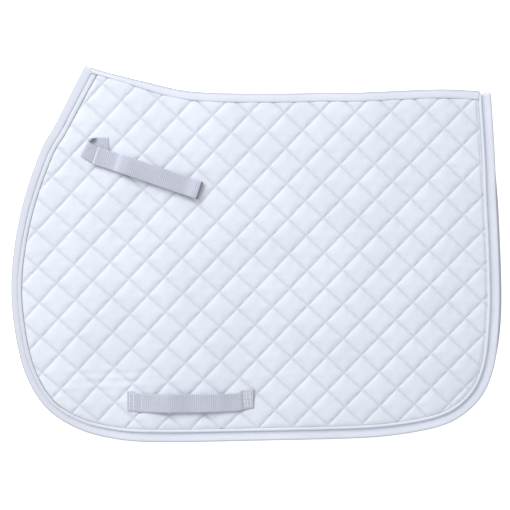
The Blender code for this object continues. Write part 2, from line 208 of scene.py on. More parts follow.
def store(obj, label, values):
    """One value per vertex, for the materials."""
    layer = obj.data.attributes.new(label, "FLOAT", "POINT")
    layer.data.foreach_set("value", np.asarray(values, np.float32))


def link(name, data):
    """A new object in the scene."""
    obj = bpy.data.objects.new(name, data)
    bpy.context.scene.collection.objects.link(obj)
    return obj


def new_object(name, verts, faces, attributes=()):
    """A smooth mesh from points in millimetres."""
    mesh = bpy.data.meshes.new(name)
    mesh.from_pydata((np.asarray(verts, float) * MM).tolist(), [], [list(map(int, f)) for f in faces])
    mesh.update()
    mesh.polygons.foreach_set("use_smooth", [True] * len(mesh.polygons))
    obj = link(name, mesh)
    for label, values in attributes:
        store(obj, label, values)
    return obj


def lattice(xy):
    """Quilting coordinates: a sewn line runs wherever one of them is whole."""
    u = xy / SPAN
    found = []
    for q in (QUILT_A, QUILT_B):
        t = math.radians(q["across"])
        line = (xy[:, 0] * math.cos(t) + xy[:, 1] * math.sin(t)) / q["pitch"] + q["phase"]
        bow = q["xx"] * u[:, 0] ** 2 + q["xy"] * u[:, 0] * u[:, 1] + q["yy"] * u[:, 1] ** 2
        found.append(line + bow)
    return np.stack(found, 1)


def lattice_point(ab):
    """The point of the pad at lattice coordinates ab, by Newton's method."""
    rows = []
    for q in (QUILT_A, QUILT_B):
        t = math.radians(q["across"])
        rows.append((math.cos(t) / q["pitch"], math.sin(t) / q["pitch"]))
    inverse = np.linalg.inv(np.array(rows))
    xy = (ab - np.array([QUILT_A["phase"], QUILT_B["phase"]])) @ inverse.T
    for _ in range(8):
        xy = xy - (lattice(xy) - ab) @ inverse.T
    return xy


def line_distance(ab):
    """Share of a cell from the nearest sewn line of each family."""
    return np.abs(ab - np.round(ab))


def wobble(points, scale, seed):
    """Small smooth irregularities, the same on each run."""
    return np.array([noise.noise(Vector((p[0] / scale, p[1] / scale, seed))) for p in points])


# Quilted cover

COVER_START = 5.0
CREST_GAP = 3.4
FULL = 4.2
RIM = 1.0
EDGE_ROUND_FRONT = 3.4
EDGE_ROUND_MORE = 3.2
SEAM_SHARE = 0.55
SEAM_ROUND = 7.0
SEW_DEPTH = 1.35
SEW_RISE = 0.55
DOME = 0.24
DOME_POWER = 2.2
SHOULDER = (11.0, 5.5)
RIM_SNAP = 1.2
LIFT_CAP = 0.4
HEIGHT_CAP = 4.0
CAP_SOFTNESS = 0.6
LINING_INSET = 11.0
BATTING_STEPS = (0.0, 0.12, 0.31, 0.5, 0.69, 0.88)
BATTING_START = 19.0
BATTING_TOP = 8.0
BATTING_RIM = 0.3
BATTING_SHARE = 0.72
SIMULATION_FRAMES = 20


def envelope(xy, inset, place, drop, trim):
    """Height of the cover without its quilting. trim is where its rim ends."""
    t = np.clip((inset - trim) / (EDGE_ROUND_FRONT + EDGE_ROUND_MORE * rear_share(place)), 0, 1)
    edge = RIM + (FULL - RIM) * np.sqrt(1 - (1 - t) ** 2)
    reach = tape_reach(xy[:, 0]) - 1.0
    t = np.clip((drop - reach) / SEAM_ROUND, 0, 1)
    seam = RIM + (FULL - RIM) * (SEAM_SHARE + (1 - SEAM_SHARE) * np.sqrt(1 - (1 - t) ** 2))
    under_tape = RIM + (FULL - RIM) * SEAM_SHARE * smooth(drop, 1.5, reach)
    return np.minimum(edge, np.where(drop < reach, under_tape, seam))


def pillow(ab):
    """Share of full height in a cell: a low dome with a crisp shoulder along each sewn line."""
    d = np.abs(2 * (ab - np.floor(ab)) - 1)
    rise = DOME * (1 - d ** DOME_POWER) + (1 - DOME) * (1 - d ** np.array(SHOULDER))
    return rise[:, 0] * rise[:, 1]


def quilt_grid(cell_steps, start=COVER_START, top=CREST_GAP):
    """Grid of the cover that has a row of points along every sewn line."""
    box = np.array([(x, y) for x in (-350, 350) for y in (-270, 275)], float)
    ab = lattice(box)
    low, high = np.floor(ab.min(0)) - 1, np.ceil(ab.max(0)) + 1
    steps = np.array(cell_steps)
    rows = (np.arange(low[0], high[0])[:, None] + steps[None, :]).ravel()
    cols = (np.arange(low[1], high[1])[:, None] + steps[None, :]).ravel()
    a, b = np.meshgrid(rows, cols, indexing="ij")
    ab = np.stack([a.ravel(), b.ravel()], 1)
    xy = lattice_point(ab)
    inset, place = edge_inset(xy)
    drop = seam_y(xy[:, 0]) - xy[:, 1]
    keep = (inset > start) & (drop > top)
    index = np.arange(len(ab)).reshape(a.shape)
    quads = np.stack([index[:-1, :-1], index[1:, :-1], index[1:, 1:], index[:-1, 1:]], -1).reshape(-1, 4)
    quads = quads[keep[quads].all(1)]
    used = np.unique(quads)
    renumber = np.full(len(ab), -1)
    renumber[used] = np.arange(len(used))
    quads = renumber[quads][:, ::-1]
    return {"ab": ab[used], "xy": xy[used], "inset": inset[used], "place": place[used],
            "drop": drop[used], "quads": quads}


def snap_to_rim(grid, trim):
    """Move grid points that are almost on the cover's rim exactly onto it."""
    off = grid["inset"] - trim
    close = np.abs(off) < RIM_SNAP
    xy = grid["xy"][close]
    slope = np.stack([edge_inset(xy + step)[0] - grid["inset"][close]
                      for step in ((0.4, 0.0), (0.0, 0.4))], 1)
    slope /= np.linalg.norm(slope, axis=1)[:, None]
    grid["xy"][close] = xy - slope * off[close][:, None]
    grid["inset"][close] = trim[close]
    grid["on_line"] = line_distance(grid["ab"]).min(1) < 1e-6
    grid["ab"][close] = lattice(grid["xy"][close])


def quilt_height(grid, trim):
    """Height of the quilted cover above the flap's middle."""
    env = envelope(grid["xy"], grid["inset"], grid["place"], grid["drop"], trim)
    lines = line_distance(grid["ab"])
    # a sewn line is deepest where it crosses another, and rises a little between crossings
    along = np.where(lines[:, 0] < lines[:, 1], lines[:, 1], lines[:, 0]) * 2
    sewn = SEW_DEPTH + SEW_RISE * np.clip(along, 0, 1) ** 1.5
    sewn = np.minimum(sewn, env)
    return sewn + (env - sewn) * pillow(grid["ab"])


def inflate(grid, height, pinned):
    """Cloth simulation of the cover, held along its sewn lines and blown up by the batting."""
    verts = np.column_stack([grid["xy"], height])
    obj = new_object("quilt_simulation", verts, grid["quads"])
    group = obj.vertex_groups.new(name="held")
    group.add([int(i) for i in np.nonzero(pinned)[0]], 1.0, "REPLACE")
    cloth = obj.modifiers.new("cloth", "CLOTH")
    s = cloth.settings
    s.quality = 4
    s.mass = 0.2
    s.tension_stiffness = 12
    s.compression_stiffness = 12
    s.shear_stiffness = 4
    s.bending_stiffness = 0.05
    s.use_pressure = True
    s.uniform_pressure_force = 4.0
    s.vertex_group_mass = "held"
    s.shrink_min = -0.02
    s.shrink_max = -0.02
    s.effector_weights.gravity = 0
    cloth.collision_settings.use_collision = False
    scene = bpy.context.scene
    cloth.point_cache.frame_end = SIMULATION_FRAMES
    for f in range(1, SIMULATION_FRAMES + 1):
        scene.frame_set(f)
    graph = bpy.context.evaluated_depsgraph_get()
    result = np.empty(len(verts) * 3)
    obj.evaluated_get(graph).data.vertices.foreach_get("co", result)
    scene.frame_set(1)
    bpy.data.objects.remove(obj)
    return result.reshape(-1, 3) / MM - verts


# Swept trim

def turned_edge(crest, spacing=2.5, radius=4.8):
    """The line of a flap's trim: along the edge, then over the fold at both ends, crest below the crest.

    Rows are point (x, y, height above the flap's middle), direction inward and direction of thickness.
    """
    fine = resample(EDGE, 0.3)
    drop = seam_y(fine[:, 0]) - fine[:, 1]
    inside = np.nonzero(drop > crest + radius)[0]
    flat = resample(fine[inside[0]:inside[-1] + 1], spacing)
    tangent = np.gradient(flat, axis=0)
    tangent /= np.linalg.norm(tangent, axis=1)[:, None]
    zero = np.zeros(len(flat))
    points = np.column_stack([flat, zero])
    inward = np.column_stack([-tangent[:, 1], tangent[:, 0], zero])
    thick = np.column_stack([zero, zero, zero + 1])
    up = thick[0]
    for k, order in ((0, -1), (-1, 1)):
        out = np.array([*tangent[k], 0.0]) * order
        angle = (math.pi / 2 * np.arange(1, 9) / 8)[::order, None]
        normal = out * np.sin(angle) + up * np.cos(angle)
        turn = points[k] - up * radius + normal * radius, np.tile(inward[k], (8, 1)), normal
        points, inward, thick = (np.concatenate([new, old][::-order])
                                 for new, old in zip(turn, (points, inward, thick)))
    return points, inward, thick


def recalc(obj):
    """Turn every face of a closed body outward."""
    bm = bmesh.new()
    bm.from_mesh(obj.data)
    bmesh.ops.recalc_face_normals(bm, faces=bm.faces)
    bm.to_mesh(obj.data)
    bm.free()
    return obj


def ring_faces(rows, width, first=0):
    """Quads between rings of vertices, and a cap on each end ring."""
    faces = []
    for i in range(rows - 1):
        low = first + i * width
        faces += [(low + k, low + (k + 1) % width, low + width + (k + 1) % width, low + width + k)
                  for k in range(width)]
    last = first + (rows - 1) * width
    return faces + [[first + k for k in range(width)][::-1], [last + k for k in range(width)]]


def tube(name, rows, along, across):
    """A closed body through rings of points, with its lengths along and across stored on it."""
    width = len(rows[0])
    labels = ("along", np.repeat(along, width)), ("across", np.tile(across, len(rows)))
    return recalc(new_object(name, np.concatenate(rows), ring_faces(len(rows), width), labels))


def sweep(name, centre, across, up, profile):
    """profile(i) gives the (across, up) points of the section at row i."""
    rows = []
    for i in range(len(centre)):
        section = np.asarray(profile(i), float)
        rows.append(centre[i] + section[:, :1] * across[i] + section[:, 1:] * up[i])
    middle = np.asarray(profile(len(centre) // 2), float)
    return tube(name, rows, lengths(centre), lengths(middle))


def mark(obj, label, rows):
    """Store one value per row of a swept mesh."""
    store(obj, label, np.repeat(rows, len(obj.data.vertices) // len(rows)))


def binding_section(width=9.4, half=2.6):
    """Section of the binding: a folded tape, its outer face first."""
    top = [(width, half * 0.60), (width - 0.35, half * 0.78), (width - 1.4, half * 0.90),
           (width * 0.62, half * 0.97), (width * 0.35, half), (1.5, half * 0.97), (0.6, half * 0.82),
           (0.12, half * 0.45)]
    outer = top + [(0.0, 0.0)] + [(x, -z) for x, z in top[::-1]]
    inner = [(width, -half * 0.34), (width - 1.5, -half * 0.52), (2.4, -half * 0.55), (1.4, 0),
             (2.4, half * 0.55), (width - 1.5, half * 0.52), (width, half * 0.34)]
    return outer + inner


# Materials

STITCHES_PER_CELL = 11.0
TAPE_STITCH = 3.0
YARN_PITCH = 0.85
TWIST_PITCH = 0.7


class Nodes:
    """A short way to write shader node graphs."""

    def __init__(self, name):
        self.material = bpy.data.materials.new(name)
        self.material.use_nodes = True
        self.tree = self.material.node_tree
        self.shader = self.tree.nodes["Principled BSDF"]

    def feed(self, socket, value):
        if isinstance(value, bpy.types.NodeSocket):
            self.tree.links.new(value, socket)
        elif isinstance(value, (tuple, list)) and len(value) == 3 and socket.type == "RGBA":
            socket.default_value = (*value, 1)
        else:
            socket.default_value = value

    def add(self, kind, settings=None, **inputs):
        node = self.tree.nodes.new(kind)
        for key, value in (settings or {}).items():
            setattr(node, key, value)
        for key, value in inputs.items():
            self.feed(node.inputs[key], value)
        return node

    def math(self, operation, a, b=0.0):
        node = self.add("ShaderNodeMath", {"operation": operation})
        self.feed(node.inputs[0], a)
        self.feed(node.inputs[1], b)
        return node.outputs[0]

    def times(self, a, b):
        return self.math("MULTIPLY", a, b)

    def plus(self, a, b):
        return self.math("ADD", a, b)

    def minus(self, a, b):
        return self.math("SUBTRACT", a, b)

    def off(self, value, place):
        """Distance of a value from a place."""
        return self.math("ABSOLUTE", self.minus(value, place))

    def attribute(self, name):
        return self.add("ShaderNodeAttribute", {"attribute_name": name}).outputs["Fac"]

    def ramp(self, value, low, high):
        """0 at low and 1 at high, smoothly."""
        node = self.add("ShaderNodeMapRange", {"interpolation_type": "SMOOTHSTEP"},
                        **{"Value": value, "From Min": low, "From Max": high})
        return node.outputs[0]

    def fall(self, value, low, high):
        """1 at low and 0 at high, smoothly."""
        return self.minus(1.0, self.ramp(value, low, high))

    def mix(self, share, a, b):
        node = self.add("ShaderNodeMix", {"data_type": "RGBA"})
        for socket, value in ((node.inputs[0], share), (node.inputs[6], a), (node.inputs[7], b)):
            self.feed(socket, value)
        return node.outputs[2]

    def noise(self, scale, detail, roughness, position):
        return self.add("ShaderNodeTexNoise", Scale=scale, Detail=detail, Roughness=roughness,
                        Vector=position).outputs[0]

    def position(self):
        return self.add("ShaderNodeTexCoord").outputs["Object"]

    def bump(self, height, strength, distance, normal=None):
        node = self.add("ShaderNodeBump", Strength=strength, Distance=distance, Height=height)
        if normal is not None:
            self.feed(node.inputs["Normal"], normal)
        return node.outputs[0]

    def set(self, **inputs):
        """Feed the surface shader; an underscore in a name stands for a space."""
        for key, value in inputs.items():
            self.feed(self.shader.inputs[key.replace("_", " ")], value)
        return self.material

    def finish(self, colour, roughness, normal, sheen=0.25):
        return self.set(Base_Color=colour, Roughness=roughness, Normal=normal, Sheen_Weight=sheen,
                        Sheen_Roughness=0.5, Specular_IOR_Level=0.3)


def tinted(colour, *factors):
    """A colour multiplied by one factor, or each channel by its own."""
    factors = factors * (3 // len(factors))
    return tuple(min(1.0, c * f) for c, f in zip(colour, factors))


def weave_height(n, position, pitch):
    """Plain weave: two sets of yarns at right angles, pitch in metres."""
    split = n.add("ShaderNodeSeparateXYZ", Vector=position).outputs
    turn = 2 * math.pi / pitch
    x, y = (n.math("SINE", n.times(n.plus(split[axis], split["Z"]), turn)) for axis in "XY")
    return n.times(x, y)


def uneven(n, position, colour, amount=0.03):
    """Colour variation: broad soft patches and fine slubs."""
    broad = n.noise(14.0, 2.0, 0.5, position)
    fine = n.noise(260.0, 3.0, 0.6, position)
    both = n.plus(n.times(broad, 0.6), n.times(fine, 0.4))
    return n.mix(n.ramp(both, 0.3, 0.7), tinted(colour, 1 - amount * 1.6), tinted(colour, 1 + amount))


def quilted_cotton(name, colour, thread):
    """Cotton whose sewn lines, and the painted shade along them, are drawn from the quilting coordinates
    stored on the mesh.
    """
    n = Nodes(name)
    position = n.position()
    distances, lines, stitches = [], [], []
    for own, other in (("quilt_a", "quilt_b"), ("quilt_b", "quilt_a")):
        value = n.attribute(own)
        distance = n.off(value, n.math("ROUND", value))
        run = n.math("FRACT", n.times(n.attribute(other), STITCHES_PER_CELL))
        line = n.fall(distance, 0.006, 0.016)
        distances.append(distance)
        lines.append(line)
        stitches.append(n.times(line, n.ramp(n.off(run, 0.5), 0.44, 0.36)))
    line = n.math("MAXIMUM", *lines)
    stitch = n.math("MAXIMUM", *stitches)
    # painted shade: the cloth is painted darker in a band along each sewn line, broader along the second
    # family
    valley = n.math("MAXIMUM", n.fall(distances[0], 0.0, 0.045),
                    n.times(n.fall(distances[1], 0.0, 0.105), 0.72))
    # near the trim, more painted shade: along a seam behind, a dark painted shadow in the gap beside the
    # piping, and lighter painted shade in the groove beside the binding
    margin, turned = n.attribute("margin"), n.attribute("turned")
    seam = n.times(n.fall(n.off(margin, 6.4), 0.3, 1.1), n.attribute("behind"))
    gap = n.times(n.fall(n.off(n.attribute("gap"), 0.1), 0.45, 1.1), n.minus(0.85, n.times(turned, 0.6)))
    groove = n.times(n.times(n.ramp(margin, -7.4, -6.4), n.fall(margin, -2.6, -1.4)), turned)
    # colour of the painted shade in the valleys and along the seam
    painted_shade_tint = tinted(colour, 0.76, 0.77, 0.80)
    cloth = uneven(n, position, colour)
    for share, tint in ((n.times(valley, 0.6), painted_shade_tint), (n.times(seam, 0.6), painted_shade_tint),
                        (gap, tinted(colour, 0.28)), (groove, tinted(colour, 0.88, 0.89, 0.92)),
                        (n.times(stitch, 0.75), thread)):
        cloth = n.mix(share, cloth, tint)
    fuzz = n.noise(900.0, 2.0, 0.6, position)
    height = n.plus(n.times(weave_height(n, position, 0.0011), 0.35), n.times(fuzz, 0.5))
    normal = n.bump(height, 0.25, 0.00012)
    pulled = n.minus(n.times(stitch, 1.2), n.math("MAXIMUM", line, n.times(seam, 0.7)))
    normal = n.bump(pulled, 0.5, 0.0004, normal)
    return n.finish(cloth, n.plus(0.82, n.times(fuzz, 0.12)), normal)


def tape_cloth(name, colour, rib=0.9, stitch_at=(), thread=None, fold_at=None):
    """Twill tape: fine slanted ribs, and a row of stitches at each place across it.

    fold_at gives the place of its fold, the half width of the painted shade line there and how dark it is.
    """
    n = Nodes(name)
    position = n.position()
    along, across = n.attribute("along"), n.attribute("across")
    ribs = n.math("SINE", n.times(n.plus(along, across), 2 * math.pi / rib))
    fuzz = n.noise(800.0, 2.0, 0.6, position)
    normal = n.bump(n.plus(n.times(ribs, 0.5), n.times(fuzz, 0.5)), 0.25, 0.00012)
    cloth = uneven(n, position, colour, 0.035)
    # painted shade: trim along the front edge is painted darker where the front attribute is set
    cloth = n.mix(n.times(n.attribute("front"), 0.9), cloth, tinted(colour, 0.86))
    # painted shade along the tape's fold, where its edge turns away from the light
    if fold_at:
        place, half, dark = fold_at
        cloth = n.mix(n.fall(n.off(across, place), half * 0.4, half), cloth, tinted(colour, dark))
    for place in stitch_at:
        line = n.fall(n.off(across, place), 0.25, 0.6)
        run = n.math("FRACT", n.math("DIVIDE", along, TAPE_STITCH))
        stitch = n.times(line, n.ramp(n.off(run, 0.5), 0.42, 0.33))
        # painted shade in the sunken line of each stitch row
        cloth = n.mix(n.times(line, 0.35), cloth, tinted(colour, 0.80))
        cloth = n.mix(n.times(stitch, 0.8), cloth, thread)
        normal = n.bump(n.minus(n.times(stitch, 1.1), line), 0.6, 0.0004, normal)
    return n.finish(cloth, 0.85, normal)


def webbing_cloth(name, light, dark, pitch):
    """Ribbed webbing: ribs run across the band, with finer yarns along it."""
    n = Nodes(name)
    position = n.position()
    drift = n.times(n.noise(160.0, 2.0, 0.5, position), 0.9)
    ribs = n.math("SINE", n.times(n.plus(n.attribute("along"), drift), 2 * math.pi / pitch))
    yarns = n.math("SINE", n.times(n.attribute("across"), 2 * math.pi / YARN_PITCH))
    grain = n.noise(420.0, 3.0, 0.65, position)
    broad = n.noise(26.0, 2.0, 0.5, position)
    mixed = n.plus(n.plus(n.times(ribs, 0.27), n.times(grain, 0.5)), n.times(broad, 0.5))
    normal = n.bump(n.plus(n.times(ribs, 0.5), n.times(yarns, 0.22)), 0.38, 0.00035)
    normal = n.bump(grain, 0.35, 0.0002, normal)
    cloth = n.mix(n.ramp(mixed, 0.1, 0.95), dark, light)
    # painted shade: the webbing is painted dark where the hollow attribute is set
    cloth = n.mix(n.attribute("hollow"), cloth, tinted(dark, 0.30))
    # painted highlight: the webbing is painted paler where the pale attribute is set
    cloth = n.mix(n.attribute("pale"), cloth, tinted(light, 1.25))
    return n.finish(cloth, 0.62, normal, 0.15)


def fastener_cloth(name, colour, density):
    """Hook or loop tape: a dense field of small tufts."""
    n = Nodes(name)
    tuft = n.add("ShaderNodeTexVoronoi", Scale=density, Vector=n.position()).outputs["Distance"]
    cloth = n.mix(n.ramp(tuft, 0.1, 0.7), tinted(colour, 1.15), tinted(colour, 0.7))
    return n.finish(cloth, 0.9, n.bump(tuft, 0.8, 0.0005), 0.4)


def plain_thread(name, colour):
    n = Nodes(name)
    twist = n.math("SINE", n.times(n.attribute("along"), 2 * math.pi / TWIST_PITCH))
    return n.finish(uneven(n, n.position(), colour, 0.05), 0.55, n.bump(twist, 0.5, 0.0001), 0.1)


def loose_fibre(name, colour):
    n = Nodes(name)
    wisps = n.noise(120.0, 6.0, 0.7, n.position())
    cloth = n.mix(n.ramp(wisps, 0.3, 0.7), tinted(colour, 0.9), colour)
    return n.finish(cloth, 0.95, n.bump(wisps, 0.8, 0.001), 0.5)


COTTON = quilted_cotton("white_quilted_cotton", (0.755, 0.795, 0.875), (0.66, 0.69, 0.78))
LINING = quilted_cotton("white_lining_cotton", (0.745, 0.785, 0.86), (0.66, 0.69, 0.78))
# Lengths round the outer faces of the folded tapes, to place their stitches and folds.
ROUND_BINDING = float(lengths(np.array(binding_section()[:17]))[-1])
ROUND_TAPE = 35.9
# the binding's outer fold and the spine tape's crest are painted darker as painted shade
BINDING = tape_cloth("white_binding_twill", (0.77, 0.80, 0.895), stitch_at=(1.6, ROUND_BINDING - 1.6),
                     thread=(0.68, 0.70, 0.79), fold_at=(ROUND_BINDING / 2, 4.4, 0.52))
PIPING = tape_cloth("white_piping_twill", (0.765, 0.795, 0.885), rib=0.8)
TAPE = tape_cloth("white_spine_twill", (0.72, 0.75, 0.845), stitch_at=(1.3, ROUND_TAPE - 1.3),
                  thread=(0.66, 0.68, 0.77), fold_at=(ROUND_TAPE / 2, 9.6, 0.36))
WEBBING = webbing_cloth("grey_ribbed_webbing", (0.59, 0.61, 0.71), (0.42, 0.44, 0.53), 2.7)
RIBBED = webbing_cloth("grey_grosgrain_webbing", (0.63, 0.65, 0.75), (0.46, 0.48, 0.57), 2.6)
THREAD = plain_thread("grey_sewing_thread", (0.66, 0.68, 0.77))
WHITE_THREAD = plain_thread("white_sewing_thread", (0.88, 0.90, 0.96))
HOOKS = fastener_cloth("hook_tape_tufts", (0.50, 0.52, 0.60), 520.0)
LOOPS = fastener_cloth("loop_tape_tufts", (0.55, 0.57, 0.65), 700.0)
BATTING = loose_fibre("polyester_batting", (0.86, 0.86, 0.84))


def dress(obj, material, slot_name, *nodes):
    """Give a piece its material and hide the CAD nodes it replaces. slot_name is not used."""
    obj.data.materials.append(material)
    if nodes:
        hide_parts(*nodes)
    return obj


# The two flaps: the height of each flap's middle, which way its outer face points, its body and its spine
# body.
SIDES = {
    "near": {"mid": NEAR_MID, "face": 1, "body": "near_side", "spine": "spine_inner"},
    "far": {"mid": FAR_MID, "face": -1, "body": "far_side", "spine": "spine_outer"},
}


def bend_with_spine(obj):
    """Bake a piece's transform into its mesh."""
    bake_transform(obj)


# Creases that the cloth has in the photograph's places: centre, half size, wave length across the
# creases, direction of the creases in degrees and height.
CREASES = [
    ((-205, -176), (60, 17), 12.0, 4, 1.0),
    ((-192, 231), (20, 13), 9.0, 78, 0.9),
    ((264, 126), (26, 13), 12.0, -2, 0.7),
    ((-215, -90), (12, 22), 9.0, 86, 0.4),
    ((-9, -180), (13, 10), 7.0, 62, 0.9),
    ((150, 40), (40, 16), 14.0, 3, 0.35),
    ((300, -10), (22, 14), 11.0, -4, 0.5),
]


def turned_to(xy, centre, angle):
    """How far points are from a centre along and across a direction."""
    off = xy - np.array(centre, float)
    cos, sin = math.cos(angle), math.sin(angle)
    return off[:, 0] * cos + off[:, 1] * sin, off[:, 1] * cos - off[:, 0] * sin


def creases(xy):
    """Height that the creases add to the near cover."""
    total = np.zeros(len(xy))
    for centre, size, wave, degrees, height in CREASES:
        run, cross = turned_to(xy, centre, math.radians(degrees))
        wide, tall = size if abs(degrees) < 45 else size[::-1]
        mask = np.exp(-(run / wide) ** 2 - (cross / tall) ** 2)
        bend = 1.6 * np.sin(run / (wide * 0.9) * 2.1)
        ridge = np.sin((cross + bend) * 2 * math.pi / wave)
        total += height * mask * (ridge - 0.35 * ridge ** 2)
    return total


def box_distance(xy, centre, length, width, angle):
    """Distance outside a rectangle laid on the pad; negative inside it."""
    u, v = turned_to(xy, centre, angle)
    du, dv = np.abs(u) - length / 2, np.abs(v) - width / 2
    outside = np.hypot(np.maximum(du, 0), np.maximum(dv, 0))
    return outside + np.minimum(np.maximum(du, dv), 0)


# Hollows that the far straps press into the far cover: centre, length, width, angle and depth.
DENTS = [
    (tuple(STRAP_ANCHOR + STRAP_DIR * STRAP_REACH / 2), STRAP_REACH + 12, WEB_WIDTH + 4, STRAP_ANGLE, 6.1),
    ((-219.0, 151.5), 42.0, WEB_WIDTH + 5, 0.0, 6.1),
    ((-92.0, -205.4), 182.0, 33.0, math.radians(0.8), 2.3),
]


def dent_floor(xy):
    """Lowest height of the far cover's outer face: the floor, or a strap pressed into it."""
    floor = np.full(len(xy), 0.06)
    for centre, length, width, angle, depth in DENTS:
        gap = box_distance(xy, centre, length, width, angle)
        floor = np.maximum(floor, depth * (1 - smooth(gap, 0.0, 8.0)))
    return floor


def cover_piece(side, layer, grid, z, out):
    """One cover at heights z, facing up or down (out is 1 or -1)."""
    place = grid["place"]
    margin = grid["inset"] - piping_inset(place)
    obj = new_object(f"{side}_{layer}_quilting", np.column_stack([grid["xy_now"], z]),
                     grid["quads"][:, ::out],
                     (("quilt_a", grid["ab"][:, 0]), ("quilt_b", grid["ab"][:, 1]),
                      ("margin", margin), ("gap", margin - piping_half(place)),
                      ("turned", rear_share(place)), ("behind", smooth(place, 0.72, 0.78))))
    cloth, node = (COTTON, "outer_shell") if layer == "outer" else (LINING, "lining")
    dress(obj, cloth, f"{layer}_cotton", f"{side}_{node}")
    bend_with_spine(obj)


def quilted_flaps():
    """The covers and linings of both flaps, from one grid."""
    grid = quilt_grid(CELL_STEPS)
    xy, place = grid["xy"], grid["place"]
    outer_trim = piping_inset(place) + piping_half(place) - 0.2
    snap_to_rim(grid, outer_trim)
    inner_trim = np.full(len(place), LINING_INSET)
    height = quilt_height(grid, outer_trim)
    under_tape = grid["drop"] < tape_reach(xy[:, 0])
    held = grid["on_line"] | (grid["inset"] < outer_trim + 0.6) | under_tape
    shift = inflate(grid, height, held)
    shift = LIFT_CAP * np.tanh(shift / LIFT_CAP)
    lift = shift[:, 2]
    grid["xy_now"] = xy + shift[:, :2]
    free = smooth(line_distance(grid["ab"]).min(1), 0.0, 0.06) * (~held)
    soft = (wobble(xy, 27.0, 3.7) * 0.25 + wobble(xy, 9.0, 8.1) * 0.12) * free
    raised = height + lift + creases(xy) * free + soft
    capped = HEIGHT_CAP + CAP_SOFTNESS * np.tanh((raised - HEIGHT_CAP) / CAP_SOFTNESS)
    raised = np.where(raised > HEIGHT_CAP, capped, raised)
    inner = np.minimum(quilt_height(grid, inner_trim) + lift * 0.7 - soft, FLAP_HALF - 0.1)
    # the underside is squashed flat where it carries the pad
    floor = dent_floor(xy)
    over = FAR_MID - (height + lift * 0.8 + wobble(xy, 31.0, 5.9) * 0.3 * free) - floor - 0.5
    squashed = 0.6 * np.exp(np.minimum(over, 0.6) - 0.6)
    under = floor + np.where(over > 0.6, over, squashed)

    cover_piece("near", "outer", grid, NEAR_MID + raised, 1)
    cover_piece("near", "lining", grid, NEAR_MID - inner, -1)
    cover_piece("far", "lining", grid, FAR_MID + inner, 1)
    cover_piece("far", "outer", grid, under, -1)


def batting(side):
    """The stuffing between a flap's covers, one closed body."""
    grid = quilt_grid(BATTING_STEPS, start=BATTING_START, top=BATTING_TOP)
    s = SIDES[side]
    height = quilt_height(grid, piping_inset(grid["place"]) + 2.2)
    thick = BATTING_RIM + (height - RIM) * BATTING_SHARE
    top, bottom = s["mid"] + thick, s["mid"] - thick
    if side == "far":
        bottom = np.maximum(bottom, dent_floor(grid["xy"]) + 0.5)
        top = np.maximum(top, bottom + BATTING_RIM)
    count = len(top)
    quads = grid["quads"]
    edges = {}
    for q in quads:
        for a, b in zip(q, np.roll(q, -1)):
            edges.setdefault((min(a, b), max(a, b)), []).append((a, b))
    walls = [(b, a, a + count, b + count) for pair in edges.values() if len(pair) == 1 for a, b in pair]
    verts = np.concatenate([np.column_stack([grid["xy"], top]), np.column_stack([grid["xy"], bottom])])
    faces = [tuple(q) for q in quads] + [tuple(q[::-1] + count) for q in quads] + walls
    obj = new_object(f"{side}_batting", verts, faces)
    dress(obj, BATTING, "batting", f"{side}_padding")
    bend_with_spine(obj)


# Trim

def cord_section(radius_across, radius_up, lift, count=14):
    """Oval section of the piping, standing off the flap's middle by lift."""
    angle = 2 * math.pi * np.arange(count) / count
    return np.column_stack([radius_across * np.cos(angle), lift + radius_up * np.sin(angle)])


def flap_stagger(place):
    """How far the far flap shows past the near flap along the rear edge."""
    return FLAP_STAGGER * smooth(place, 0.745, 0.79) * (1 - smooth(place, 0.895, 0.95))


def trim_line(side, crest):
    """turned_edge in the pad's frame, and the places of its points along the edge."""
    points, inward, thick = turned_edge(crest)
    place = edge_inset(points[:, :2])[1]
    shift = flap_stagger(place)[:, None] / 2
    points = points + inward * (shift if side == "near" else -shift)
    flip = np.array([1.0, 1.0, SIDES[side]["face"]])
    return points * flip + np.array([0.0, 0.0, SIDES[side]["mid"]]), inward, thick * flip, place


def edge_trim(side):
    """The binding and the piping of one flap."""
    centre, inward, thick, place = trim_line(side, crest=1.4)
    flutter = wobble(centre[:, :2], 38.0, 2.2 if side == "near" else 6.4)
    ripple = wobble(centre[:, :2], 11.0, 4.8)

    def section(i):
        half = BINDING_HALF * (1 + 0.05 * ripple[i])
        width = BINDING_WIDTH + 0.25 * flutter[i] + 0.6 * withers_spread(place[i])
        return binding_section(width, half)

    binding = sweep(f"{side}_binding", centre, inward, thick, section)
    # painted shade: the binding is painted darker along the front edge
    mark(binding, "front", 1 - rear_share(place))
    dress(binding, BINDING, "binding", f"{side}_edge_binding")
    bend_with_spine(binding)

    centre, inward, thick, place = trim_line(side, crest=3.2)
    inset = piping_inset(place)
    line = centre + inward * inset[:, None]
    behind = rear_share(place)

    def cord_at(i):
        size = 1 + 0.04 * ripple[i]
        return cord_section(piping_half(place[i]) * size, (1.15 + 0.6 * behind[i]) * size,
                            1.5 + 1.05 * behind[i])

    cord = sweep(f"{side}_piping_cord", line, inward, thick, cord_at)
    # painted shade: the piping is painted darker along the front edge
    mark(cord, "front", 1 - behind)
    dress(cord, PIPING, "piping", f"{side}_piping")
    bend_with_spine(cord)


# Spine

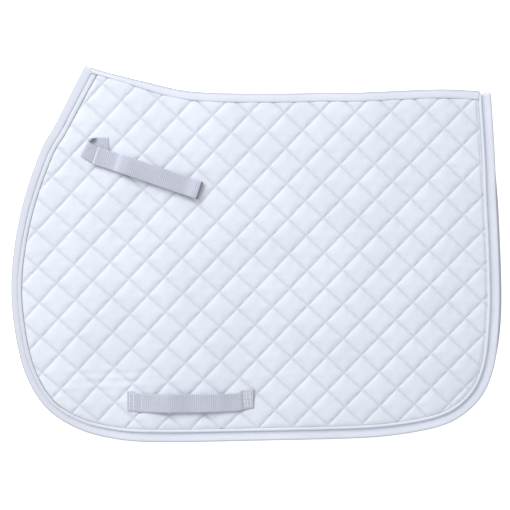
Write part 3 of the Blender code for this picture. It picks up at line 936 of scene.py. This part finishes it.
def spine_band(name, path, thickness, start, end, node, body):
    """A strip bent over the seam; path(x) lists (drop below the crest, height above the fold)."""
    x = np.linspace(start, end, 400)
    line = resample(np.column_stack([x, seam_y(x)]), 2.4)
    lump = wobble(line, 24.0, 7.7)
    rows = []
    for i, (x, y) in enumerate(line):
        mid = np.array(path(x), float)
        step = np.gradient(mid, axis=0)
        step /= np.linalg.norm(step, axis=1)[:, None]
        normal = np.stack([-step[:, 1], step[:, 0]], 1)
        half = np.full(len(mid), thickness / 2)
        half[[0, -1]] *= 0.6
        one = mid + normal * half[:, None]
        two = (mid - normal * half[:, None])[::-1]
        ring = np.concatenate([one, two])
        rows.append(np.column_stack([np.full(len(ring), x), y - ring[:, 0] + 0.12 * lump[i],
                                     FOLD_Z + ring[:, 1]]))
    across = lengths(np.array(path((start + end) / 2), float))
    obj = tube(name, rows, lengths(line), np.concatenate([across, across[::-1]]))
    dress(obj, TAPE, "binding", node)
    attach(obj, body)


def tape_path(x):
    """The outer tape: flat on both flaps, and round over the crest."""
    reach = float(tape_reach(x))
    side = [(reach, 8.25), (reach - 0.9, 8.3), (reach * 0.72, 8.15), (reach * 0.5, 7.9)]
    for k in range(1, 9):
        a = math.pi / 2 * k / 8
        side.append((3.4 * (1 - math.sin(a)) + 0.15, 7.5 * math.cos(a)))
    return side + [(d, -z) for d, z in side[-2::-1]]


def facing_path(x):
    """The inner tape: drawn in under the crest, and open round the seam allowance."""
    side = [(10.5, 1.1), (8.6, 1.35), (6.4, 2.0), (4.6, 2.1), (3.4, 1.6), (2.7, 0.8), (2.5, 0.0)]
    return side + [(d, -z) for d, z in side[-2::-1]]


# Webbing

# Section of a ribbon: place across it and share of its thickness, fuller at the selvedges.
RIBBON_SHARE = (0.0, 0.035, 0.09, 0.2, 0.35, 0.5, 0.65, 0.8, 0.91, 0.965, 1.0)
RIBBON_SWELL = (0.35, 0.9, 1.12, 1.0, 1.0, 1.0, 1.0, 1.0, 1.12, 0.9, 0.35)


def ribbon(name, upper, lower, thickness):
    """Webbing ruled between its two edges, with rounded selvedges and cut ends."""
    upper, lower = np.array(upper, float), np.array(lower, float)
    middle = (upper + lower) / 2
    along = lengths(middle)
    tangent = np.gradient(middle, axis=0)
    share, swell = np.array(RIBBON_SHARE), np.array(RIBBON_SWELL)
    rows = []
    for i in range(len(upper)):
        side = lower[i] - upper[i]
        normal = np.cross(side, tangent[i])
        normal /= max(np.linalg.norm(normal), 1e-9)
        ends = min(1.0, 0.45 + 0.55 * min(along[i], along[-1] - along[i]) / 0.6)
        flat = upper[i] + share[:, None] * side
        half = (thickness / 2 * swell * ends)[:, None]
        rows.append(np.concatenate([flat + normal * half, (flat - normal * half)[::-1]]))
    return tube(name, rows, along, np.concatenate([share, share[::-1]]) * WEB_WIDTH)


def shade_fold(obj, rail, x, y):
    """The inside of the near strap's open fold at (x, y) is in deep shade."""
    spot = np.array([v.co[:] for v in obj.data.vertices]) / MM
    far = np.hypot((spot[:, 0] - x) / 1.5, spot[:, 1] - y)
    level, turn = rail[0][2], rail[len(rail) // 2][2]
    below = (spot[:, 2] < (turn + level) / 2) & (turn > level)
    store(obj, "hollow", (1 - smooth(far, 4.0, 9.0)) * below * 0.9)


# A stitch is thin at its ends and full in its middle: place along it and share of its radius.
STITCH_SWELL = ((0.0, 0.35), (0.2, 0.9), (0.5, 1.0), (0.8, 0.9), (1.0, 0.35))
STITCH_SIDES = 6


def thread_row(name, paths, pitch, length, radius, material, body, *nodes):
    """Stitches: short bulging threads laid end to end along each path."""
    verts, faces, marks = [], [], []
    for path in paths:
        path = np.array(path, float)
        total = lengths(path)
        count = max(1, int(total[-1] / pitch))
        for k in range(count):
            centre_at = (k + 0.5) * total[-1] / count
            ends = [np.array([np.interp(centre_at + d, total, path[:, c]) for c in range(3)])
                    for d in (-length / 2, length / 2)]
            axis = ends[1] - ends[0]
            size = np.linalg.norm(axis)
            axis /= size
            side = np.cross(axis, (0, 0, 1.0))
            side /= np.linalg.norm(side)
            up = np.cross(side, axis)
            first = len(verts)
            for t, swell in STITCH_SWELL:
                spot = ends[0] + axis * size * t
                for m in range(STITCH_SIDES):
                    a = 2 * math.pi * m / STITCH_SIDES
                    verts.append(spot + radius * swell * (side * math.cos(a) * 1.15 + up * math.sin(a) * 0.8))
                    marks.append(centre_at + size * (t - 0.5))
            faces += ring_faces(len(STITCH_SWELL), STITCH_SIDES, first)
    obj = recalc(new_object(name, verts, faces, (("along", marks),)))
    dress(obj, material, "thread", *nodes)
    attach(obj, body)


def rectangle(corner, along, across, length, width, z):
    """A closed rectangular path of stitches."""
    run, rise = np.array(along) * length, np.array(across) * width
    return [(*(np.array(corner) + a * run + b * rise), z)
            for a, b in ((0, 0), (1, 0), (1, 1), (0, 1), (0, 0))]


def billet_strap(side, base, out, bulge):
    """The strap that closes on itself. base is the face it lies on and out points away from the pad."""
    body = SIDES[side]["body"]
    t, under, top = LEVEL["tab"], LEVEL["under"], LEVEL["top"]
    # the far strap lies flat under the pad, and the near one stands open at its fold
    loose = 1.0 if side == "near" else 0.25

    def at(x, y, h):
        """The point at height h above the face that the strap lies on."""
        return (x, y, base + out * h)

    def strap_point(u, v, h):
        """The same at u along the strap and v across it."""
        return at(*(STRAP_ANCHOR + STRAP_DIR * u + STRAP_ACROSS * v), h)

    def blend_at(obj):
        """Bake a piece's transform into its mesh."""
        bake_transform(obj)

    upper = [at(-206.7, 163.4, t), at(-214.0, 163.4, t), at(-221.5, 163.3, t), at(-228.0, 162.6, t + 0.1),
             at(-232.6, 160.9, t + 0.7 + 0.4 * loose), at(-234.3, 158.2, t + 1.4 + 1.4 * loose),
             at(-232.0, 156.0, t + 1.8 + 2.2 * loose), at(-227.0, 152.9, t + 1.75 + 1.6 * loose),
             strap_point(20, 12.5, under + 0.2 * loose), strap_point(40, 12.5, under)]
    lower = [at(-206.7, 139.1, t), at(-216.0, 139.0, t), at(-229.0, 138.9, t), at(-239.5, 138.7, t + 0.1),
             at(-244.2, 138.4, t + 0.55), at(-245.4, 137.6, t + 1.1), at(-242.9, 136.1, t + 1.7),
             at(-236.4, 131.8, t + 1.75), strap_point(24, -12.5, under), strap_point(40, -12.5, under)]
    rails = catmull(upper, RAIL_STEPS), catmull(lower, RAIL_STEPS)
    fold = ribbon(f"{side}_billet_tab", *rails, WEB)
    shade_fold(fold, rails[0], -232.0, 161.0)
    dress(fold, WEBBING, "webbing", f"{side}_strap_tab")
    # names of the bodies of the strap's under leg and top leg
    lower_leg, upper_leg = f"{side}_strap_under", f"{side}_strap_top"
    blend_at(fold)

    # the loop: out along the pad, round its far end and back to the patch
    radius = (top + bulge - under) / 2
    path = [(u, under) for u in np.arange(40, STRAP_REACH - 2, 3.0)]
    for k in range(13):
        a = math.pi * (k / 12 - 0.5)
        path.append((STRAP_REACH + radius * math.cos(a) - 0.4, under + radius + radius * math.sin(a)))
    for u in np.arange(STRAP_REACH - 4, PATCH_END, -2.5):
        rise = smooth(u, PATCH_END + 2, PATCH_END + 24)
        wave = 0.25 * math.sin(u / 9.0) * rise * (1 if bulge else 0)
        path.append((u, top + bulge * rise + wave))
    path += [(u, top) for u in np.linspace(PATCH_END, STRAP_FREE_END, 12)]
    path = np.array(path)
    sway = 0.35 * np.sin(path[:, 0] / 31.0)
    rails = [[strap_point(u, half + s, h) for (u, h), s in zip(path, sway)] for half in (12.6, -12.6)]
    loop = ribbon(f"{side}_billet_strap", *rails, WEB)
    # painted highlight makes the webbing paler where it has been bent and at its cut end, and painted shade
    # makes it dark inside its turn
    u = path[:, 0]
    pale = 0.5 * np.exp(-((u - 50) / 4.0) ** 2) + 0.35 * np.exp(-((u - 158) / 7.0) ** 2)
    mark(loop, "pale", pale + 0.9 * (np.abs(u - STRAP_FREE_END) < 1.0))
    mark(loop, "hollow", 0.75 * (u > STRAP_REACH - 0.3))
    dress(loop, WEBBING, "webbing", f"{side}_strap_under_leg", f"{side}_strap_top_leg")
    blend_at(loop)

    # hook and loop patches that close the strap
    for kind, leg, cloth in (("loop", lower_leg, LOOPS), ("hook", upper_leg, HOOKS)):
        rails = [[strap_point(u, half, LEVEL[kind]) for u in np.linspace(PATCH_START, PATCH_END, 16)]
                 for half in (11, -11)]
        patch = ribbon(f"{side}_{kind}_patch", *rails, 0.55)
        dress(patch, cloth, f"{kind}_tape", f"{side}_strap_{kind}_patch")
        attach(patch, leg)

    proud = out * (WEB / 2 + 0.1)
    corner = STRAP_ANCHOR + STRAP_DIR * (STRAP_FREE_END + 2.6) - STRAP_ACROSS * 10.3
    box = rectangle(corner, STRAP_DIR, STRAP_ACROSS, 24.5, 20.6, base + out * top + proud)
    thread_row(f"{side}_patch_stitches", [box], 2.9, 2.5, 0.32, THREAD, upper_leg)
    box = rectangle((-222.5, 141.8), (1, 0), (0, 1), 13.5, 20.0, base + out * t + proud)
    cross = [[box[0], box[2]], [box[3], box[1]]]
    thread_row(f"{side}_tab_stitches", [box] + cross, 2.9, 2.4, 0.30, THREAD, body,
               f"{side}_strap_tab_stitching")


def girth_web(side, base, out, rise):
    """The lower webbing, sewn at both ends. rise is how far its middle stands off the pad."""
    body = SIDES[side]["body"]
    knots_upper = [(-180.6, -191.8), (-173.0, -191.9), (-166.5, -193.6), (-158.0, -195.0), (-100.0, -195.3),
                   (-40.0, -195.1), (-26.5, -194.2), (-21.0, -191.2), (-12.0, -189.5), (-3.6, -188.3)]
    knots_lower = [(-180.2, -219.2), (-172.5, -219.6), (-166.5, -220.2), (-158.0, -220.9), (-120.0, -221.5),
                   (-44.0, -220.3), (-28.0, -219.6), (-20.5, -218.3), (-12.0, -216.6), (-3.4, -214.9)]
    rails = [resample(catmull(knots), 1.1) for knots in (knots_upper, knots_lower)]
    count = min(map(len, rails))
    upper, lower = (np.stack([np.interp(np.linspace(0, len(r) - 1, count), np.arange(len(r)), column)
                              for column in r.T], 1) for r in rails)
    x = (upper[:, 0] + lower[:, 0]) / 2
    span = np.clip((x - GIRTH_FRONT_X - GIRTH_SEWN) / (GIRTH_LENGTH - 2 * GIRTH_SEWN), 0, 1)
    arch = GIRTH_LEVEL + np.minimum(1.0, np.sin(math.pi * span) * 1.25) ** 1.1 * rise
    tilt = 0.8 * np.sin(math.pi * span) if rise else 0 * span
    upper_z = base + out * (arch + tilt * 0.3)
    lower_z = base + out * (arch - tilt)
    band = ribbon(f"{side}_girth_strap", np.column_stack([upper, upper_z]),
                  np.column_stack([lower, lower_z]), WEB)
    # painted shade: lines where the webbing bends or ends look darker: place along X, half width and share
    bends = ((-19.5, 2.2, 0.30), (-105.0, 16.0, 0.10), (-43.0, 8.0, 0.10))
    ends = ((GIRTH_FRONT_X, 0.8, 0.25), (-3.5, 0.8, 0.30))
    dark = sum(share * np.exp(-((x - spot) / half) ** 2) for spot, half, share in bends)
    dark += sum(share * (np.abs(x - spot) < half) for spot, half, share in ends)
    mark(band, "hollow", dark)
    dress(band, RIBBED, "webbing", f"{side}_girth_loop")
    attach(band, body)
    z = base + out * (GIRTH_LEVEL + WEB / 2 + 0.1)
    front = [[(x, -217.5, z), (x + 0.4, -194.5, z)] for x in (-177.6, -171.6, -160.3)]
    front.append([(-177.6, -194.5, z), (-164.5, -195.0, z)])
    tilt_dir = np.array([math.cos(0.14), math.sin(0.14)])
    tilt_up = np.array([-tilt_dir[1], tilt_dir[0]])
    corner = np.array([-16.4, -214.6])
    feet = [corner + tilt_dir * run for run in (1.5, 5.0, 9.6)]
    rear = [[(*foot, z), (*(foot + tilt_up * 22.0), z)] for foot in feet]
    for end, paths, pitch, length in (("front", front, 4.6, 3.9), ("rear", rear, 5.4, 4.8)):
        thread_row(f"{side}_girth_{end}_stitches", paths, pitch, length, 0.42, WHITE_THREAD, body,
                   f"{side}_girth_{end}_stitching")


# Build

quilted_flaps()
for flap_side in SIDES:
    batting(flap_side)
    edge_trim(flap_side)
spine_band("spine_binding_tape", tape_path, 1.0, -231.0, 312.5, "spine_tape", "spine_outer")
spine_band("spine_inner_tape", facing_path, 0.8, -222.0, 310.0, "spine_facing", "spine_inner")
billet_strap("near", NEAR_TOP, 1, STRAP_BULGE)
billet_strap("far", FAR_STRAP_BASE, -1, 0.0)
girth_web("near", NEAR_TOP, 1, GIRTH_RISE)
girth_web("far", FAR_GIRTH_BASE, -1, 0.0)


# Floor, light and camera

FLOOR_HALF = 9000
FLOOR_LEVEL = -0.3
FLOOR_GLOW = 0.55
WORLD_LIGHT = 0.63
KEY_PLACE = (-1.35, 1.55, 2.1)
KEY_SIZE = 1.8
KEY_POWER = 58
CAMERA_HEIGHT = 3.0
CAMERA_X = -0.00175
CAMERA_Y = -0.0009
FRAME_WIDTH = 0.714
SENSOR_WIDTH = 36


def studio():
    """A white floor, an even sky and one large soft light from the withers' side."""
    corners = ((-1, -1), (1, -1), (1, 1), (-1, 1))
    floor = new_object("floor", [(x * FLOOR_HALF, y * FLOOR_HALF, FLOOR_LEVEL) for x, y in corners],
                       [(0, 1, 2, 3)])
    floor.data.materials.append(Nodes("pale_floor").set(
        Base_Color=(0.96, 0.96, 0.96), Roughness=0.9, Emission_Color=(1, 1, 1), Emission_Strength=FLOOR_GLOW))
    world = bpy.data.worlds.new("studio")
    bpy.context.scene.world = world
    world.use_nodes = True
    background = world.node_tree.nodes["Background"]
    background.inputs[0].default_value = (0.975, 0.98, 1.0, 1)
    background.inputs[1].default_value = WORLD_LIGHT
    data = bpy.data.lights.new("key", "AREA")
    data.size = KEY_SIZE
    data.energy = KEY_POWER
    key = link("key", data)
    key.location = KEY_PLACE
    key.rotation_euler = (-Vector(KEY_PLACE)).to_track_quat("-Z", "Y").to_euler()
    lens = bpy.data.cameras.new("camera")
    lens.sensor_width = SENSOR_WIDTH
    lens.lens = SENSOR_WIDTH * CAMERA_HEIGHT / FRAME_WIDTH
    lens.clip_end = 50
    camera = link("camera", lens)
    camera.location = (CAMERA_X, CAMERA_Y, NEAR_TOP * MM + CAMERA_HEIGHT)
    bpy.context.scene.camera = camera
    bpy.context.scene.view_settings.view_transform = "Standard"


studio()
